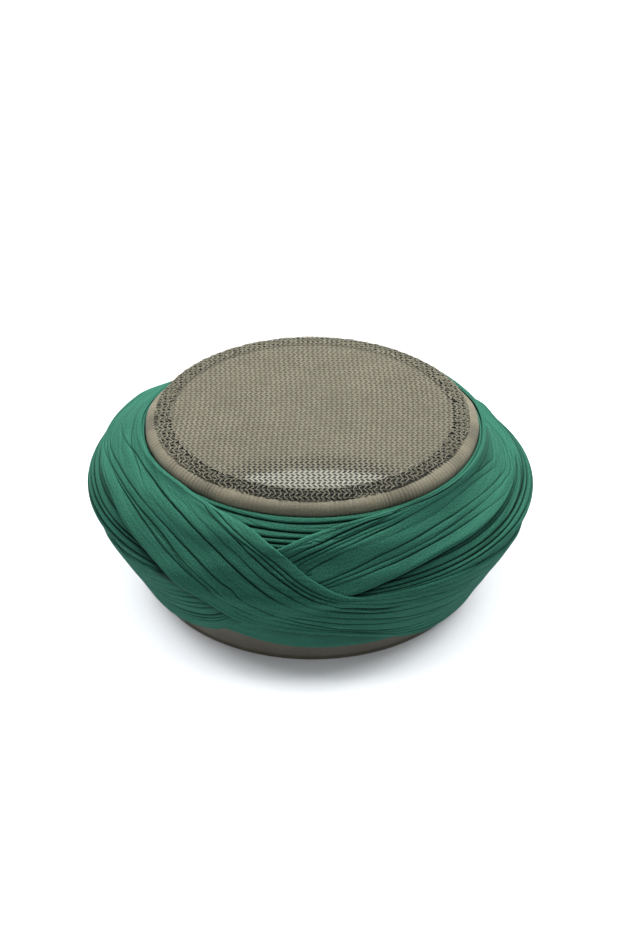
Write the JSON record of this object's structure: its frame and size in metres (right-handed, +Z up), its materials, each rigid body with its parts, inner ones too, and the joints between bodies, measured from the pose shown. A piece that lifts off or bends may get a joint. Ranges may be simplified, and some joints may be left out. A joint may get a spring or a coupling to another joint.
{
  "type": "turban",
  "caption": "Ready-wound turban: a hollow cap with a net crown and a gathered rim, and a padded roll of pleated cloth with two bands crossing at the front.",
  "frame": {"origin": "centre of the open mouth, on the plane that the cap's lower edge rests on", "axes": "+Z up through the crown, -Y to the front where the bands cross, +X to the right as seen from the front"},
  "size_m": [0.2561, 0.2612, 0.1059],
  "materials": {
    "green_cloth": "matt pleated crepe",
    "khaki_cloth": "matt cotton",
    "net_thread": "knitted thread with a slight sheen"
  },
  "bodies": {
    "root": {"cap_wall": "khaki_cloth", "crown_rim": "khaki_cloth", "crown_panel": "khaki_cloth", "crown_net": "net_thread", "padded_roll": "green_cloth", "left_band": "green_cloth", "right_band": "green_cloth"}
  },
  "joints": []
}
